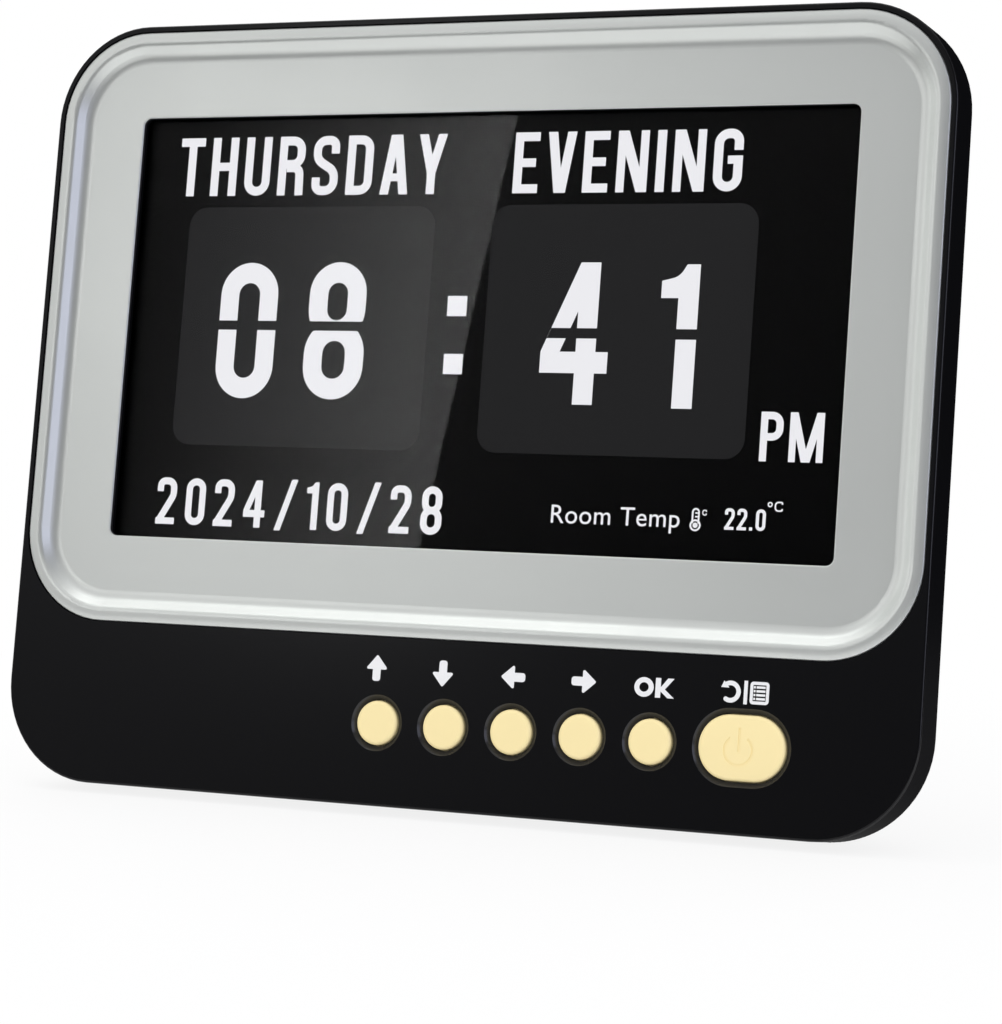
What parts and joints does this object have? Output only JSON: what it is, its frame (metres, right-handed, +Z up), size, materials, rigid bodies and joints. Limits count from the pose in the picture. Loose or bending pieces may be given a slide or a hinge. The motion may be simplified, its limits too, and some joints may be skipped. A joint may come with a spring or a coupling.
{
  "type": "digital photo frame clock",
  "caption": "Leaning desk clock with a wide display in a raised silver bezel, push buttons on a black chin and a fold-out leg behind.",
  "frame": {"origin": "on the table, in the middle of the clock's width and of its depth over the opened leg", "axes": "+X to the viewer's right, -Y towards the viewer, +Z up; the face leans back 10 degrees"},
  "size_m": [0.1936, 0.0568, 0.155],
  "materials": {
    "housing_black": "fine satin texture",
    "bezel_silver": "silver paint on moulded plastic, satin",
    "lens_clear": "polished clear cover",
    "display_glass": "dark display glass",
    "tray_white": "moulded, matt",
    "tape_black": "foam tape, matt",
    "steel_screw": "plated",
    "steel_sheet": "stamped sheet",
    "cap_cream": "moulded, satin",
    "switch_black": "moulded, matt",
    "board_green": "solder mask, semi-gloss",
    "chip_black": "moulded epoxy",
    "can_aluminium": "bright can",
    "ribbon_amber": "polyimide film",
    "cable_white": "flat cable",
    "cell_steel": "bright steel can",
    "magnet_ferrite": "sintered, grey",
    "cone_paper": "pressed paper",
    "lead_red": "insulated lead",
    "sensor_epoxy": "dipped epoxy",
    "foot_rubber": "soft rubber, matt",
    "washer_nylon": "natural nylon"
  },
  "bodies": {
    "clock": {"front_housing": "housing_black", "bezel_frame": "bezel_silver", "screen_lens": "lens_clear", "lens_tape": "tape_black", "panel_gasket": "tape_black", "lcd_cell": "display_glass", "lcd_backlight": "tray_white", "panel_clips": "steel_sheet", "panel_screws": "steel_screw", "lcd_ribbon": "ribbon_amber", "switch_bodies": "switch_black", "button_board": "board_green", "button_board_screws": "steel_screw", "button_cable": "cable_white", "main_board": "board_green", "main_board_screws": "steel_screw", "board_chips": "chip_black", "board_capacitors": "can_aluminium", "coin_cell": "cell_steel", "cell_holder": "switch_black", "card_socket": "steel_sheet", "usb_socket": "steel_sheet", "power_inlet": "steel_sheet", "speaker_basket": "steel_sheet", "speaker_cone": "cone_paper", "speaker_magnet": "magnet_ferrite", "speaker_leads": "lead_red", "temperature_sensor": "sensor_epoxy", "rear_cover": "housing_black", "rear_cover_screws": "steel_screw", "rubber_feet": "foot_rubber", "stand_pin": "steel_screw", "friction_washers": "washer_nylon"},
    "button_up": {"button_up": "cap_cream", "plunger_up": "switch_black"},
    "button_down": {"button_down": "cap_cream", "plunger_down": "switch_black"},
    "button_left": {"button_left": "cap_cream", "plunger_left": "switch_black"},
    "button_right": {"button_right": "cap_cream", "plunger_right": "switch_black"},
    "button_ok": {"button_ok": "cap_cream", "plunger_ok": "switch_black"},
    "button_power": {"button_power": "cap_cream", "plunger_power": "switch_black"},
    "stand": {"stand_leg": "housing_black", "stand_pad": "foot_rubber"}
  },
  "joints": [
    {"name": "up_press", "type": "slide", "parent": "clock", "child": "button_up", "axis": [0, 0.9848, -0.1736], "range_m": [0, 0.0005], "stiffness_N_per_m": 1000, "springref_m": -0.0005},
    {"name": "down_press", "type": "slide", "parent": "clock", "child": "button_down", "axis": [0, 0.9848, -0.1736], "range_m": [0, 0.0005], "stiffness_N_per_m": 1000, "springref_m": -0.0005},
    {"name": "left_press", "type": "slide", "parent": "clock", "child": "button_left", "axis": [0, 0.9848, -0.1736], "range_m": [0, 0.0005], "stiffness_N_per_m": 1000, "springref_m": -0.0005},
    {"name": "right_press", "type": "slide", "parent": "clock", "child": "button_right", "axis": [0, 0.9848, -0.1736], "range_m": [0, 0.0005], "stiffness_N_per_m": 1000, "springref_m": -0.0005},
    {"name": "ok_press", "type": "slide", "parent": "clock", "child": "button_ok", "axis": [0, 0.9848, -0.1736], "range_m": [0, 0.0005], "stiffness_N_per_m": 1000, "springref_m": -0.0005},
    {"name": "power_press", "type": "slide", "parent": "clock", "child": "button_power", "axis": [0, 0.9848, -0.1736], "range_m": [0, 0.0005], "stiffness_N_per_m": 1000, "springref_m": -0.0005},
    {"name": "stand_fold", "type": "hinge", "parent": "clock", "child": "stand", "pos_m": [0, 0.01184, 0.11478], "axis": [-1, 0, 0], "range_deg": [0, 17]}
  ]
}
